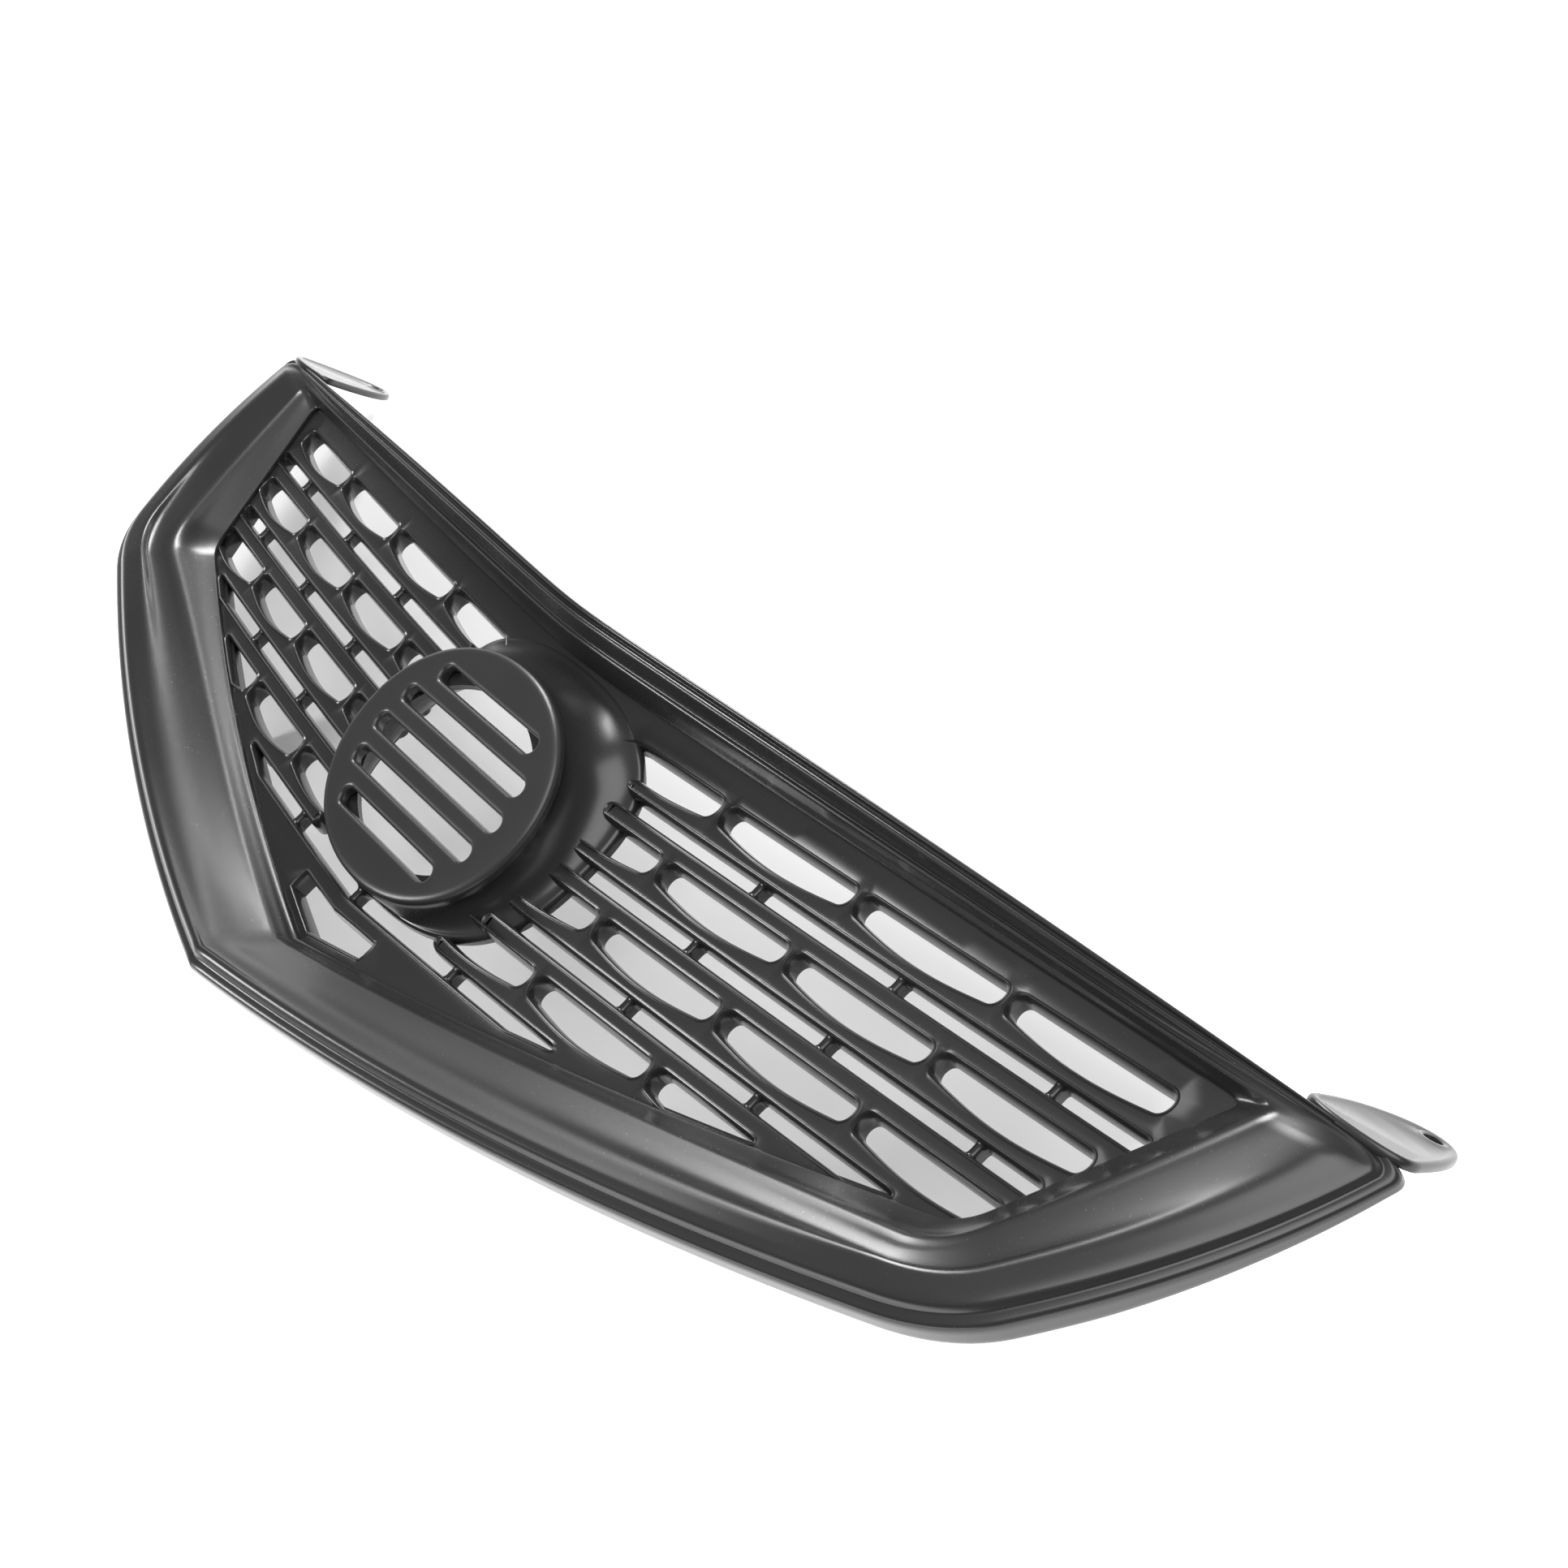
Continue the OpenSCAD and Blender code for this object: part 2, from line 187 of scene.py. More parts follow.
def metal(name, dark, light, rough, stretch):
    n = Nodes(name)
    grain = n.noise(260.0, 3.0, stretch)
    blotch = n.noise(120.0, 3.0)
    colour = n.ramp(blotch, 0.3, 0.75, dark, light)
    roughness = grain * 0.22 + (rough - 0.1)
    return n.wire(Base_Color=colour, Roughness=roughness, Metallic=1.0,
                  Normal=n.bump(grain, 0.35, 0.0003))


spring = metal("spring_steel", (0.34, 0.34, 0.36), (0.56, 0.56, 0.58), 0.3, (1, 8, 8))
zinc = metal("zinc_steel", (0.5, 0.49, 0.44), (0.7, 0.69, 0.66), 0.34, (2, 2, 2))
for name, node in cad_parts.items():
    node.data.materials.clear()
    node.data.materials.append(spring if "clip" in name or "nut" in name else
                               zinc if "screw" in name else gloss)
print("metals set on", len(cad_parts), "frame nodes")

# %% [markdown]
# ## Shape helpers
# A Shell collects rings of points, joins them with quads, and fills flat regions with holes by a
# constrained triangulation. Its piece is made once, with its object at the origin.

# %%
# Shells


class Shell:
    def __init__(self):
        self.points, self.faces = [], []

    def ring(self, points):
        start = len(self.points)
        self.points.extend([tuple(float(c) for c in p) for p in points])
        return list(range(start, len(self.points)))

    def bridge(self, a, b, closed=True):
        n = len(a)
        for i in range(n if closed else n - 1):
            j = (i + 1) % n
            self.faces.append((a[i], a[j], b[j], b[i]))

    def loft(self, rings, closed=True, wrap=False):
        idx = [self.ring(r) for r in rings]
        for a, b in zip(idx, idx[1:] + idx[:1] if wrap else idx[1:]):
            self.bridge(a, b, closed)
        return idx

    def fill(self, outer, holes=(), inner=()):
        loops = [outer, *holes]
        ids = [i for loop in loops for i in loop] + list(inner)
        flat = [Vector(self.points[i][:2]) for i in ids]
        edges, start = [], 0
        for loop in loops:
            n = len(loop)
            edges += [(start + i, start + (i + 1) % n) for i in range(n)]
            start += n
        verts, _, tris, origin, _, _ = delaunay_2d_cdt(flat, edges, [], 0, 1e-6)
        sets = [np.array([self.points[i][:2] for i in loop]) for loop in loops]
        centres = np.array([sum((verts[k] for k in t), Vector((0, 0))) / 3 for t in tris])
        keep = inside(centres, sets[0])
        for s in sets[1:]:
            keep &= ~inside(centres, s)
        for t, k in zip(tris, keep):
            if k and all(origin[v] for v in t):
                self.faces.append(tuple(ids[origin[v][0]] for v in t))


def inside(p, loop):
    x, y = p[:, 0], p[:, 1]
    hit = np.zeros(len(p), bool)
    for (x0, y0), (x1, y1) in zip(loop, np.roll(loop, -1, 0)):
        if y0 != y1:
            cross = (y0 > y) != (y1 > y)
            hit ^= cross & (x < (x1 - x0) * (y - y0) / (y1 - y0) + x0)
    return hit


def make(name, shell, material, slot, *nodes, angle=40, change=None):
    """One piece from a shell: outward normals, smooth shading, material and body. The slot argument is not
    used.
    """
    mesh = bpy.data.meshes.new(name)
    points = np.array(shell.points)
    if change:
        points = change(points)
    mesh.from_pydata(place(points).tolist(), [], shell.faces)
    bm = bmesh.new()
    bm.from_mesh(mesh)
    bmesh.ops.remove_doubles(bm, verts=bm.verts, dist=1e-7)
    bmesh.ops.recalc_face_normals(bm, faces=bm.faces)
    bm.to_mesh(mesh)
    bm.free()
    piece = bpy.data.objects.new(name, mesh)
    bpy.context.collection.objects.link(piece)
    bpy.ops.object.select_all(action="DESELECT")
    piece.select_set(True)
    bpy.context.view_layer.objects.active = piece
    bpy.ops.object.shade_smooth_by_angle(angle=math.radians(angle))
    piece.data.materials.append(material)
    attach(piece, "root")
    if nodes:
        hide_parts(*nodes)
    print(name, len(mesh.vertices), "points", len(mesh.polygons), "faces")
    return piece


def chaikin(points, times=2, closed=True):
    """Cuts the corners of a control polygon, so that it becomes a smooth curve."""
    p = np.asarray(points, float)
    for _ in range(times):
        q = np.roll(p, -1, 0)
        cut = np.stack([p * 0.75 + q * 0.25, p * 0.25 + q * 0.75], 1).reshape(-1, p.shape[1])
        p = cut if closed else np.vstack([p[:1], cut[1:-3], p[-1:]])
    return p


def offset(loop, d):
    """Moves a closed loop outwards by d along its corner normals."""
    p = np.asarray(loop, float)
    e = np.roll(p, -1, 0) - p
    e /= np.linalg.norm(e, axis=1)[:, None] + 1e-12
    n = np.stack([e[:, 1], -e[:, 0]], 1)
    m = n + np.roll(n, 1, 0)
    m /= np.linalg.norm(m, axis=1)[:, None] + 1e-12
    area = np.sum(p[:, 0] * np.roll(p[:, 1], -1) - np.roll(p[:, 0], -1) * p[:, 1])
    return p + m * d * (1 if area > 0 else -1)


def mix(a, b, t):
    return a + (b - a) * t


print("helpers ready")

# %% [markdown]
# ## Surround
# The same edge curves as the CAD, sampled more finely. Each station pairs a point on the outer edge
# with one on the mouth, and a section of control points is hung between the two.

# %%
# Edge curves


def mesh_z(x): return 47 - 0.06 * abs(x) - 0.00015 * x * x
def soft(x): return math.hypot(x, 22)
def top_y(x): return 63 + 0.085 * soft(x) - 0.00004 * x * x
def low_y(x): return -130.3 + 0.15 * x + 0.00045 * x * x
def top_lip(x): return 72.1 - 0.155 * soft(x)
def low_lip(x): return 78 - 0.118 * x
def mouth_top(x): return 50 + 0.065 * soft(x) + 0.00005 * x * x
def mouth_low(x): return -96.5 + 0.235 * abs(x) + 0.00028 * x * x


CORNER, SHOULDER, MOUTH_T, MOUTH_B = 375, 315, 321, 281


def top_station(t):
    x, m = 369 * t, 317 * t
    return [x, top_y(x), top_lip(x), m, mouth_top(m), 1 - 0.6 * t ** 6, 0]


def side_station(t):
    return [mix(CORNER, SHOULDER, t) + 32 * t * (1 - t), mix(top_y(CORNER), low_y(SHOULDER), t),
            mix(top_lip(CORNER), low_lip(SHOULDER), t), mix(MOUTH_T, MOUTH_B, t),
            mix(mouth_top(MOUTH_T), mouth_low(MOUTH_B), t), 0, 0]


def low_station(t):
    x, m = 293 * t, 273 * t
    return [x, low_y(x), low_lip(x), m, mouth_low(m), 0, 1 - t ** 4]


def stations():
    knee = np.array([SHOULDER, low_y(SHOULDER), low_lip(SHOULDER), MOUTH_B, mouth_low(MOUTH_B), 0, 0])
    a, b = np.array(side_station(0.88)), np.array(low_station(1))
    turn = [a * (1 - t) ** 2 + knee * 2 * t * (1 - t) + b * t * t for t in np.linspace(0, 1, 14)[1:-1]]
    tip = np.array([CORNER, top_y(CORNER), top_lip(CORNER), MOUTH_T, mouth_top(MOUTH_T), 0.3, 0])
    c, d = np.array(top_station(0.985)), np.array(side_station(0.05))
    point = [c * (1 - t) ** 2 + tip * 2 * t * (1 - t) + d * t * t for t in np.linspace(0, 1, 9)[1:-1]]
    half = ([top_station(t) for t in np.linspace(0, 0.985, 44)] + point +
            [side_station(t) for t in np.linspace(0.05, 0.88, 26)] + turn +
            [low_station(t) for t in np.linspace(1, 0, 44)])
    half = np.array(half)
    left = half[1:-1][::-1] * (-1, 1, 1, -1, 1, 1, 1)
    return np.vstack([half, left])


ROUND = stations()
print("stations", len(ROUND))

# %% [markdown]
# Each control point is [share of the width, plus mm, share of the rise, plus mm], from the foot on
# the mesh, out over the lip and the groove to the skirt, and back along the inside. Corner cutting
# rounds it. The top rail carries two beads, the sides a crease, and the lower band one long ramp.

# %%
# Sections
SIDE = [[0, 0, 0, -0.4], [0, 0, 0, 1.6], [0, 0.8, 0, 2.2], [0, 4, 0.08, 3], [0, 8, 0.2, 4.2],
        [0, 12, 0.36, 6], [0, 15, 0.42, 6.3], [0, 19, 0.47, 5.9], [0.5, 4, 0.62, 5.4],
        [1, -18, 0.84, 4.1], [1, -12, 0.95, 1.9], [1, -8.5, 1, 0.8], [1, -6.4, 1, 0.1],
        [1, -5.2, 1, -1.2], [1, -4.4, 1, -2.3], [1, -3, 1, -2.4], [1, -1.2, 1, -2.8], [1, 0, 1, -4.4],
        [1, 0, 1, -9], [1, 0, 1, -13.9], [1, -2.6, 1, -13.9], [1, -2.8, 1, -8], [1, -7, 1, -4.4],
        [1, -18, 0.84, 0.2], [0.5, 2, 0.6, 1.4], [0, 16, 0.42, 2.6], [0, 9, 0.24, 1.4], [0, 3, 0, 0.3]]
LOW = [[0, 0, 0, -0.4], [0, 0, 0, 1.4], [0.02, 0.6, 0.01, 2.1], [0.07, 0, 0.08, 1.9],
       [0.11, 0, 0.12, 2.4], [0.16, 0, 0.2, 2.6], [0.22, 0, 0.27, 2.3], [0.32, 0, 0.4, 1.8],
       [0.45, 0, 0.56, 1.6], [0.6, 0, 0.76, 1.7], [0.72, 0, 0.88, 1.4], [1, -8.4, 1, 0.3],
       [1, -6.4, 1, 0], [1, -5, 1, -1.4], [1, -4.2, 1, -2.4], [1, -2.8, 1, -2.5], [1, -1.2, 1, -2.9],
       [1, 0, 1, -4.4], [1, 0, 1, -9], [1, 0, 1, -13.9], [1, -2.6, 1, -13.9], [1, -2.8, 1, -7.5],
       [1, -6, 1, -4.8], [0.72, 0, 0.86, -2.8], [0.6, 0, 0.72, -2.6], [0.4, 0, 0.44, -2.2],
       [0.2, 0, 0.18, -1.2], [0.1, 0, 0, 0.3]]
TOP = [[0, 0, 0, -0.4], [0, 0, 0, 1.4], [0.03, 0, 0.02, 1.9], [0.08, 0, 0.1, 1.7],
       [0.14, 0, 0.22, 1.3], [0.2, 0, 0.36, 1.6], [0.25, 0, 0.44, 2.9], [0.33, 0, 0.49, 2.7],
       [0.38, 0, 0.58, 0.3], [0.46, 0, 0.7, 0.2], [0.54, 0, 0.8, 1.1], [0.6, 0, 0.87, 2.2],
       [0.7, 0, 0.89, 2], [0.76, 0, 0.92, -0.2], [0.82, 0, 0.94, -0.4], [0.86, 0, 1, 0],
       [0.95, 0, 1, 0], [1, 0, 1, -2.2], [1, 0, 1, -8], [1, 0, 1, -13.9], [1, -2.6, 1, -13.9],
       [1, -2.8, 1, -6], [0.78, 0, 0.86, -3.6], [0.62, 0, 0.76, -2.6], [0.5, 0, 0.6, -2.4],
       [0.4, 0, 0.4, -2], [0.3, 0, 0.2, -1], [0.2, 0, 0, 0.3]]


def surround_points(s):
    top, low = s[5], s[6]
    k = np.array(SIDE) * (1 - top - low) + np.array(LOW) * low + np.array(TOP) * top
    run = np.array([s[0] - s[3], s[1] - s[4]])
    width = np.hypot(*run)
    out = k[:, 0] * width + k[:, 1]
    foot = mesh_z(s[3])
    near_corner = np.clip((abs(s[0]) - 250) / 110, 0, 1) * np.clip(s[1] / 80, 0, 1)
    k[:, 3] = np.where(k[:, 3] < -8, k[:, 3] * (1 - 0.38 * near_corner), k[:, 3])
    xy = np.array([s[3], s[4]]) + run / width * out[:, None]
    return chaikin(np.column_stack([xy, foot + k[:, 2] * (s[2] - foot) + k[:, 3]]), 2)


skin = Shell()
skin.loft([surround_points(s) for s in ROUND], wrap=True)
make("surround_skin", skin, gloss, "gloss_black", "surround_frame", angle=50)

# %% [markdown]
# ## Mesh
# Rows are numbered from the top. Odd rows hold lens-shaped openings, even rows one long trough with
# low ribs. Near the badge all of them run into one moat, so that each bar ends in a round nose.

# %%
# Openings of the mesh


def row_y(r, x): return 33 - 14.7 * (r - 1) + 0.07 * abs(x) + 0.00007 * x * x
def rib_x(r, n): return n * (69 - 0.7 * r)


def limit(x):
    t = min(1, max(0, (abs(x) - 110) / 70))
    return mouth_low(x) + 4 - 3.5 * t * t * (3 - 2 * t)


ENDS = {1: 304, 2: 308, 3: 298, 4: 292, 5: 288, 6: 270, 7: 250, 8: 200, 9: 60}
NOSE_X = [64, 64, 64, 64, 64, 61, 52]


def bottom_gap(r, x, cell):
    odd = r % 2 == 1
    if odd and cell:
        t = np.clip((x - cell[0]) / (cell[1] - cell[0]), 0, 1)
        return 3.8 + 3.4 * np.sin(math.pi * t)
    return 3.8 if odd else 3.6


def upper(r, x): return row_y(r, x) + (5.0 if r % 2 == 1 else 3.0)
def lower(r, x, cell=None): return max(row_y(r, x) - bottom_gap(r, x, cell), limit(x))


def reach(r, x0, x1):
    """The last x, up to x1, where the row still stands clear of the lower edge of the mouth."""
    x1 = min(x1, ENDS[r])
    while x1 > x0 and upper(r, x1) - limit(x1) < 2.2:
        x1 -= 1
    return x1


def band(r, x0, x1, cell=None, blunt=()):
    """Upper and lower edge of an opening, from x0 to x1, with ends rounded unless named blunt."""
    t = 0.5 - 0.5 * np.cos(np.linspace(0, math.pi, 44 if x1 - x0 < 90 else 150))
    up, low = [], []
    for u in t:
        x = mix(x0, x1, u)
        a, b = upper(r, x), lower(r, x, cell)
        mid = (a + b) / 2
        k = 1.0
        d = min(x - x0 if "start" not in blunt else 99, x1 - x)
        soft = 4.2
        if d < soft:
            k = math.sqrt(max(0, 1 - (1 - d / soft) ** 3))
        up.append((x, mix(mid, a, k)))
        low.append((x, mix(mid, b, k)))
    return up, low


def closed_cell(r, x0, x1, cell):
    up, low = band(r, x0, x1, cell)
    return [p for p in low] + up[::-1][1:-1]


cells, ribs = [], []
path = [(0, 31), (30, 31), (44, 37.5), (49, 41)]
for r in range(1, 9):
    start = NOSE_X[min(r - 1, 6)] if r > 1 else 52
    odd = r % 2 == 1
    full = (rib_x(r, 0.5), rib_x(r, 1.5)) if odd else None
    stop = rib_x(r, 1.5) - 2.2 if odd else reach(r, start, 400)
    up, low = band(r, start, stop, full, blunt=("start",))
    path += up
    if r < 8:
        nose = NOSE_X[r - 1]
        back = [p for p in low[::-1] if p[0] >= nose][1:]
        path += back
        y0, y1 = back[-1][1], upper(r + 1, nose)
        path += [(nose - 3.4 * math.sin(a), (y0 + y1) / 2 + (y0 - y1) / 2 * math.cos(a))
                 for a in np.linspace(0.35, math.pi - 0.35, 9)]
    else:
        path += low[::-1][1:]
        path += [(x, lower(8, x)) for x in np.linspace(start, 0, 14)[1:]]
    if odd:
        n = 1.5
        while rib_x(r, n) < ENDS[r] - 12:
            x0, x1 = rib_x(r, n) + 0.3, rib_x(r, n + 1) - 2.2
            x1 = reach(r, x0, x1)
            if x1 - x0 > 10:
                cells.append((r, x0, x1, (x0, rib_x(r, n + 1) - 2.2)))
            n += 1
    else:
        ribs += [(r, s * rib_x(r, n)) for n in range(1, 5) for s in (1, -1)
                 if start + 6 < rib_x(r, n) < stop - 5]
ribs.append((8, 0.0))
moat = path + [(-x, y) for x, y in path[::-1][1:-1]]
moat = np.array(moat)[::-1]
loops = []
for r, x0, x1, cell in cells:
    loop = np.array(closed_cell(r, x0, x1, cell))
    loops += [loop, (loop * (-1, 1))[::-1]]
last = rib_x(9, 0.5) - 2.2
loops.append(np.array([(x, limit(x)) for x in np.linspace(-last, last, 41)] +
                      [(x, upper(9, x)) for x in np.linspace(last, -last, 41)]))
loops[-1] = chaikin(loops[-1], 1)
print("openings", len(loops), "ribs", len(ribs), "moat points", len(moat))

# %% [markdown]
# Every opening gets the same rim: a low bead, then a rounded shoulder and a pocket wall 8 mm deep.
# The plate is 3 mm thick under the surround, where the screws hold it.

# %%
# Mesh insert
RIM = [(1.18, 0), (1.0, 0.12), (0.74, 0.44), (0.42, 0.56), (0.1, 0.32), (-0.16, -0.2), (-0.42, -0.8),
       (-0.68, -1.6), (-0.85, -2.6), (-0.95, -4), (-1.0, -7.4), (-0.9, -8)]


def on_mesh(loop, h):
    p = np.asarray(loop)
    return np.column_stack([p, 47 - 0.06 * np.abs(p[:, 0]) - 0.00015 * p[:, 0] ** 2 + h])


def outline(grow, grow_top, steps=60):
    right = [(MOUTH_T * i / steps + grow * i / steps, mouth_top(MOUTH_T * i / steps) + grow_top)
             for i in range(steps + 1)]
    right += [(MOUTH_B * i / steps + grow * i / steps, mouth_low(MOUTH_B * i / steps) - grow)
              for i in range(steps, -1, -1)]
    return np.array([(-x, y) for x, y in right[1:-1][::-1]] + right)[::-1]


insert = Shell()
front_rims, back_rims = [], []
for loop in [moat, *loops]:
    rings = insert.loft([on_mesh(offset(loop, d), h) for d, h in RIM])
    front_rims.append(rings[0])
    back_rims.append(rings[-1])
edge, core = outline(9, 9), outline(-2, -6)
front = insert.ring(on_mesh(edge, 0))
shelf = insert.ring(on_mesh(edge, -3))
step = insert.ring(on_mesh(core, -3))
back = insert.ring(on_mesh(core, -8))
gx, gy = [k.ravel() for k in np.meshgrid(np.arange(-328, 329, 8.0), np.arange(-100, 90, 8.0))]
spots = np.column_stack([gx, gy])
near = np.array([insert.points[i][:2] for rim in front_rims + [front] for i in rim])
gaps = np.array([np.min(np.hypot(*(near - p).T)) for p in spots])
in_opening = np.any([inside(spots, offset(k, 1.2)) for k in [moat, *loops]], 0)
spots = spots[(gaps > 2.5) & inside(spots, edge) & ~in_opening]
insert.fill(front, front_rims, insert.ring(on_mesh(spots, 0)))
insert.bridge(front, shelf)
insert.fill(shelf, [step])
insert.bridge(step, back)
insert.fill(back, back_rims)
make("mesh_insert_moulding", insert, gloss, "gloss_black", "mesh_insert", angle=38)

# %% [markdown]
# The ribs of the long troughs sit 3.5 mm below the bars. Each is a short saddle, waisted in plan, so
# that the slot ends on both sides of it are round.

# %%
# Low ribs
saddles = Shell()
profile = chaikin([(-1, -8), (-1, -4.0), (-0.7, -2.7), (0, -2.3), (0.7, -2.7), (1, -4.0), (1, -8)], 2, False)
for r, x0 in ribs:
    rings = []
    for u in np.linspace(-1, 1, 15):
        y = mix(lower(r, x0), upper(r, x0), (u + 1) / 2)
        w = 2.0 + 2.6 * abs(u) ** 5
        rings.append([(x0 + w * a, y, mesh_z(x0) + h + 1.2 * abs(u) ** 6) for a, h in profile])
    ids = saddles.loft(rings)
    saddles.faces += [tuple(ids[0]), tuple(ids[-1][::-1])]
make("mesh_ribs", saddles, gloss, "gloss_black", "mesh_insert", angle=38)

# %% [markdown]
# ## Pedestal
# A superellipse foot flares up into the oval rim under the badge. A brim round the foot forms the
# floor of the moat and rolls down into the windows.

# %%
# Badge pedestal
BADGE_Y, BADGE_Z, TILT = -17.0, 60.0, math.radians(8)
TURN = np.linspace(0, 2 * math.pi, 161)[:-1]


def oval(a, b, y, n):
    c, s = np.cos(TURN), np.sin(TURN)
    return np.column_stack([a * np.sign(c) * np.abs(c) ** (2 / n), y + b * np.sign(s) * np.abs(s) ** (2 / n)])


def badge_plane(p, h): return BADGE_Z + (p[:, 1] - BADGE_Y) * math.tan(TILT) + h


def low_level(p):
    t = np.clip((p[:, 1] - 26) / 16, 0, 1)
    return on_mesh(p, 0)[:, 2] - 3.5 + 3.6 * t * t * (3 - 2 * t)


foot, rim = oval(71.4, 57.6, -8, 2.6), oval(60.9, 49.9, BADGE_Y, 2)
brim, hem = oval(72, 58, -8, 2.6), oval(73.4, 59, -8, 2.6)
rings = [np.column_stack([hem - (hem - brim) * 0.2, low_level(hem) - 4.4]),
         np.column_stack([hem, low_level(hem) - 2.2]),
         np.column_stack([mix(hem, brim, 0.5), low_level(hem) - 0.8]),
         np.column_stack([brim, low_level(brim) - 0.3])]
for t in np.linspace(0, 1, 22):
    p = mix(foot, rim, 1 - (1 - t) ** 1.6)
    rise = badge_plane(rim, -5.1) - low_level(foot)
    rings.append(np.column_stack([p, low_level(foot) + rise * t ** 1.5]))
under = oval(48, 37, BADGE_Y, 2)
inner = oval(61.5, 51.5, -8, 2.6)
shelf_in = oval(54.7, 42.7, BADGE_Y, 2)
rings += [np.column_stack([under, badge_plane(under, -5.2)]),
          np.column_stack([under, badge_plane(under, -8)]),
          np.column_stack([shelf_in, badge_plane(shelf_in, -8)])]
for t in (0.7, 0.4, 0.15, 0):
    p = mix(inner, shelf_in, 1 - (1 - t) ** 1.9)
    rings.append(np.column_stack([p, mix(low_level(inner) - 2.8, badge_plane(shelf_in, -8), t ** 1.75)]))
rings.append(np.column_stack([inner, low_level(inner) - 4.4]))
stand = Shell()
stand.loft(rings, wrap=True)
make("badge_pedestal_flare", stand, gloss, "gloss_black", "badge_pedestal", angle=50)

# %% [markdown]
# ## Badge
# A blank oval plate with a ladder of level slots. Its front edge and the slot edges are rounded, and
# the face has a slight crown, so that light rolls across it.

# %%
# Badge plate
EDGE = [(-3.4, 0), (-2.2, -0.12), (-1.2, -0.5), (-0.45, -1.1), (-0.08, -1.9), (0, -2.8), (0, -4.3),
        (-0.6, -5)]
LIP = [(2.2, 0), (1.5, -0.16), (0.85, -0.5), (0.35, -1.05), (0.06, -1.7), (0, -2.4), (0, -4.4), (0.5, -5)]


def slot_loop(y, half, h):
    a = np.linspace(-math.pi / 2, math.pi / 2, 17)
    right = np.column_stack([half + h * np.cos(a), y + h * np.sin(a)])
    return np.vstack([right, right[::-1] * (-1, 1)])


def crown(p, h):
    return np.column_stack([p, h + 1.3 * np.clip(1 - (p[:, 0] / 61.5) ** 2 - (p[:, 1] / 50.5) ** 2, 0, 1)])


def plate_ring(loop, h):
    """The front of the plate is crowned, its back is flat."""
    return crown(loop, h) if h > -4 else np.column_stack([loop, 0 * loop[:, 0] + h])


plate = Shell()
face = oval(61.5, 50.5, 0, 2.12)
rings = plate.loft([plate_ring(offset(face, d), h) for d, h in EDGE])
fronts, backs = [], []
for k in range(-2, 3):
    half = 47.5 * math.sqrt(1 - (15 * k / 44.5) ** 2) - 3.5
    loop = slot_loop(15 * k, half, 3.5)
    cut = plate.loft([plate_ring(offset(loop, d), h) for d, h in LIP])
    fronts.append(cut[0])
    backs.append(cut[-1])
plate.fill(rings[0], fronts)
plate.fill(rings[-1], backs)


def tilt(points):
    m = np.array(Matrix.Rotation(TILT, 3, "X"))
    return points @ m.T + (0, BADGE_Y, BADGE_Z)


make("badge_plate_blank", plate, satin, "gloss_black", "badge_plate", angle=35, change=tilt)

# %% [markdown]
# ## Ears
# Each ear is a tongue-shaped tab with a rounded rim and a screw hole. It hangs from behind a top
# corner and leans back, so it is drawn flat and then turned.

# %%
# Ears
EAR_ROOT, LEAN = (88.5, 13.0), math.radians(62)
LEAF = [(333, -5), (333, 14), (336, 29), (342, 41), (349, 47), (356, 48), (363, 44), (368, 33),
        (371.5, 18), (374, -1.5)]
leaf = chaikin(LEAF, 3)
HOLE_X, HOLE_Y, HOLE_R = 354, 41, 3.3
LEAF_RIM = [(-3.4, 1.1), (-2.4, 1.6), (-1.2, 1.75), (-0.4, 1.3), (0, 0.4), (0, -1.0), (-0.4, -1.5)]
HOLE_RIM = [(2.4, 1.1), (1.7, 1.5), (0.6, 1.5), (0, 1.1), (0, -1.2), (0.3, -1.5)]
turn = np.linspace(0, 2 * math.pi, 33)[:-1]
hole = np.column_stack([HOLE_X + HOLE_R * np.cos(turn), HOLE_Y + HOLE_R * np.sin(turn)])


def lean(p, side):
    y = EAR_ROOT[0] + p[:, 1] * math.cos(LEAN) + p[:, 2] * math.sin(LEAN)
    z = EAR_ROOT[1] - p[:, 1] * math.sin(LEAN) + p[:, 2] * math.cos(LEAN)
    return np.column_stack([side * p[:, 0], y, z])


for side, word in ((1, "right"), (-1, "left")):
    ear = Shell()
    rings = ear.loft([np.column_stack([offset(leaf, d), 0 * leaf[:, 0] + z]) for d, z in LEAF_RIM])
    bore = ear.loft([np.column_stack([offset(hole, d), 0 * hole[:, 0] + z]) for d, z in HOLE_RIM])
    ear.fill(rings[0], [bore[0]])
    ear.fill(rings[-1], [bore[-1]])
    make("ear_" + word, ear, gloss, "gloss_black", "surround_frame", change=(lambda p, s=side: lean(p, s)))

# %% [markdown]
# ## Back
# The blades that carry the clips and the bosses that take the mesh screws stand behind the surround.

# %%
# Blades and bosses


def finish_solid(name, piece):
    piece.name = name
    bpy.ops.object.transform_apply(location=True, rotation=True, scale=True)
    bpy.ops.object.shade_smooth_by_angle(angle=math.radians(35))
    piece.data.materials.clear()
    piece.data.materials.append(satin)
    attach(piece, "root")
    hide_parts("surround_frame")
    return piece


